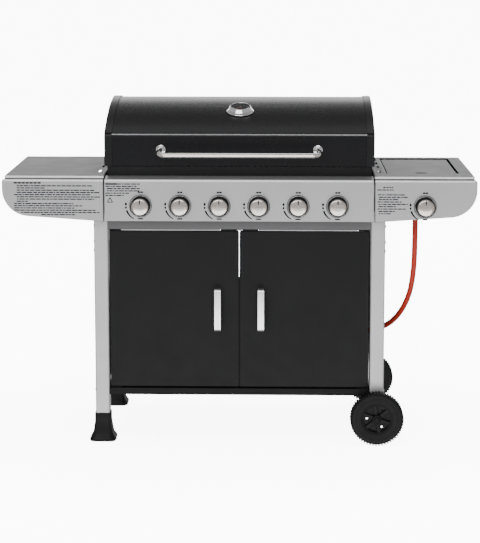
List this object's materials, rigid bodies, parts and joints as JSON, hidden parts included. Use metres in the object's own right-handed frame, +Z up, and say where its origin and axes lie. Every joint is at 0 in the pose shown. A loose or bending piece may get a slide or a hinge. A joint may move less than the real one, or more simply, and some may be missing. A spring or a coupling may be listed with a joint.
{
  "type": "gas barbecue grill",
  "caption": "Free-standing gas barbecue grill with a hinged lid, side shelves, a flush side burner, control knobs, a two-door cabinet, wheels on one side and a red gas hose.",
  "frame": {"origin": "on the floor, in the middle of the grill's footprint", "axes": "+X to the grill's right as seen from the front, the front faces -Y, +Z up"},
  "size_m": [1.32, 0.545, 0.963],
  "materials": {
    "silver_paint": "satin silver paint",
    "shelf_steel": "textured silver-grey paint",
    "frame_paint": "silver-grey powder coat",
    "black_enamel": "satin black enamel",
    "cast_black": "satin black paint on cast alloy",
    "cabinet_black": "satin black powder coat",
    "stainless_tube": "brushed",
    "chrome_trim": "polished",
    "gauge_glass": "clear",
    "gauge_needle": "matt",
    "black_plastic": "matt moulded",
    "knob_finish": "steel-look face on a black skirt",
    "stem_steel": "zinc plated",
    "grate_iron": "porcelain coated",
    "burner_steel": "mill finish",
    "bowl_enamel": "gloss black enamel",
    "gas_brass": "machined",
    "pipe_zinc": "zinc plated steel",
    "hose_rubber": "red-orange gas hose cover",
    "grommet_rubber": "matt",
    "regulator_alloy": "die cast"
  },
  "bodies": {
    "root": {"back_panel": "cabinet_black", "bottom_shelf": "cabinet_black", "burners": "burner_steel", "control_panel": "silver_paint", "cooking_grates": "grate_iron", "door_catches": "cabinet_black", "door_hinge_brackets": "cabinet_black", "fascia_left": "silver_paint", "fascia_right": "silver_paint", "feet": "black_plastic", "firebox": "black_enamel", "flame_tamers": "burner_steel", "frame_bolts": "stem_steel", "frame_rails": "frame_paint", "gas_hose": "hose_rubber", "gas_manifold": "pipe_zinc", "gas_valves": "gas_brass", "hose_grommet": "grommet_rubber", "hose_inlet": "gas_brass", "knob_bezels": "chrome_trim", "lid_hinge_brackets": "cast_black", "lower_legs": "frame_paint", "regulator": "regulator_alloy", "shelf_left": "shelf_steel", "shelf_right": "shelf_steel", "side_burner": "burner_steel", "side_burner_bowl": "bowl_enamel", "side_burner_trivet": "grate_iron", "side_panels": "cabinet_black", "upper_legs": "frame_paint", "warming_rack": "burner_steel", "wheel_axle": "stem_steel"},
    "lid": {"lid_shell": "black_enamel", "lid_ends": "cast_black", "lid_handle": "stainless_tube", "thermometer_case": "chrome_trim", "thermometer_glass": "gauge_glass"},
    "gauge_hand": {"thermometer_needle": "gauge_needle"},
    "left_door": {"door_left": "cabinet_black", "door_handle_left": "stainless_tube"},
    "right_door": {"door_right": "cabinet_black", "door_handle_right": "stainless_tube"},
    "side_lid": {"side_burner_lid": "shelf_steel"},
    "tray": {"grease_tray": "burner_steel"},
    "front_wheel": {"wheel_front": "black_plastic"},
    "rear_wheel": {"wheel_rear": "black_plastic"},
    "burner_1_valve_stem": {"burner_1_stem": "stem_steel"},
    "burner_1_control": {"burner_1_knob": "knob_finish"},
    "burner_2_valve_stem": {"burner_2_stem": "stem_steel"},
    "burner_2_control": {"burner_2_knob": "knob_finish"},
    "burner_3_valve_stem": {"burner_3_stem": "stem_steel"},
    "burner_3_control": {"burner_3_knob": "knob_finish"},
    "burner_4_valve_stem": {"burner_4_stem": "stem_steel"},
    "burner_4_control": {"burner_4_knob": "knob_finish"},
    "burner_5_valve_stem": {"burner_5_stem": "stem_steel"},
    "burner_5_control": {"burner_5_knob": "knob_finish"},
    "burner_6_valve_stem": {"burner_6_stem": "stem_steel"},
    "burner_6_control": {"burner_6_knob": "knob_finish"},
    "side_burner_valve_stem": {"side_burner_stem": "stem_steel"},
    "side_burner_control": {"side_burner_knob": "knob_finish"}
  },
  "joints": [
    {"name": "lid_hinge", "type": "hinge", "parent": "root", "child": "lid", "pos_m": [0, 0.2575, 0.801], "axis": [-1, 0, 0], "range_deg": [0, 85]},
    {"name": "gauge_turn", "type": "hinge", "parent": "lid", "child": "gauge_hand", "pos_m": [0, -0.0755, 0.93429], "axis": [0, 0.2829, -0.9591], "range_deg": [0, 250], "stiffness_Nm_per_rad": 0.002},
    {"name": "left_door_hinge", "type": "hinge", "parent": "root", "child": "left_door", "pos_m": [-0.355, -0.1845, 0.38], "axis": [0, 0, -1], "range_deg": [0, 110]},
    {"name": "right_door_hinge", "type": "hinge", "parent": "root", "child": "right_door", "pos_m": [0.355, -0.1845, 0.38], "axis": [0, 0, 1], "range_deg": [0, 110]},
    {"name": "side_lid_hinge", "type": "hinge", "parent": "root", "child": "side_lid", "pos_m": [0.5125, 0.1585, 0.765], "axis": [-1, 0, 0], "range_deg": [0, 95]},
    {"name": "tray_slide", "type": "slide", "parent": "root", "child": "tray", "axis": [0, 1, 0], "range_m": [0, 0.3]},
    {"name": "front_wheel_roll", "type": "hinge", "parent": "root", "child": "front_wheel", "pos_m": [0.39, -0.2195, 0.076], "axis": [0, 1, 0], "continuous": true},
    {"name": "rear_wheel_roll", "type": "hinge", "parent": "root", "child": "rear_wheel", "pos_m": [0.39, 0.2435, 0.076], "axis": [0, 1, 0], "continuous": true},
    {"name": "burner_1_turn", "type": "hinge", "parent": "root", "child": "burner_1_valve_stem", "pos_m": [-0.2737, -0.2405, 0.686], "axis": [0, -1, 0], "range_deg": [0, 180]},
    {"name": "burner_1_push", "type": "slide", "parent": "burner_1_valve_stem", "child": "burner_1_control", "axis": [0, 1, 0], "range_m": [0, 0.0035], "stiffness_N_per_m": 600},
    {"name": "burner_2_turn", "type": "hinge", "parent": "root", "child": "burner_2_valve_stem", "pos_m": [-0.16422, -0.2405, 0.686], "axis": [0, -1, 0], "range_deg": [0, 180]},
    {"name": "burner_2_push", "type": "slide", "parent": "burner_2_valve_stem", "child": "burner_2_control", "axis": [0, 1, 0], "range_m": [0, 0.0035], "stiffness_N_per_m": 600},
    {"name": "burner_3_turn", "type": "hinge", "parent": "root", "child": "burner_3_valve_stem", "pos_m": [-0.05474, -0.2405, 0.686], "axis": [0, -1, 0], "range_deg": [0, 180]},
    {"name": "burner_3_push", "type": "slide", "parent": "burner_3_valve_stem", "child": "burner_3_control", "axis": [0, 1, 0], "range_m": [0, 0.0035], "stiffness_N_per_m": 600},
    {"name": "burner_4_turn", "type": "hinge", "parent": "root", "child": "burner_4_valve_stem", "pos_m": [0.05474, -0.2405, 0.686], "axis": [0, -1, 0], "range_deg": [0, 180]},
    {"name": "burner_4_push", "type": "slide", "parent": "burner_4_valve_stem", "child": "burner_4_control", "axis": [0, 1, 0], "range_m": [0, 0.0035], "stiffness_N_per_m": 600},
    {"name": "burner_5_turn", "type": "hinge", "parent": "root", "child": "burner_5_valve_stem", "pos_m": [0.16422, -0.2405, 0.686], "axis": [0, -1, 0], "range_deg": [0, 180]},
    {"name": "burner_5_push", "type": "slide", "parent": "burner_5_valve_stem", "child": "burner_5_control", "axis": [0, 1, 0], "range_m": [0, 0.0035], "stiffness_N_per_m": 600},
    {"name": "burner_6_turn", "type": "hinge", "parent": "root", "child": "burner_6_valve_stem", "pos_m": [0.2737, -0.2405, 0.686], "axis": [0, -1, 0], "range_deg": [0, 180]},
    {"name": "burner_6_push", "type": "slide", "parent": "burner_6_valve_stem", "child": "burner_6_control", "axis": [0, 1, 0], "range_m": [0, 0.0035], "stiffness_N_per_m": 600},
    {"name": "side_burner_turn", "type": "hinge", "parent": "root", "child": "side_burner_valve_stem", "pos_m": [0.516, -0.2405, 0.686], "axis": [0, -1, 0], "range_deg": [0, 180]},
    {"name": "side_burner_push", "type": "slide", "parent": "side_burner_valve_stem", "child": "side_burner_control", "axis": [0, 1, 0], "range_m": [0, 0.0035], "stiffness_N_per_m": 600}
  ]
}
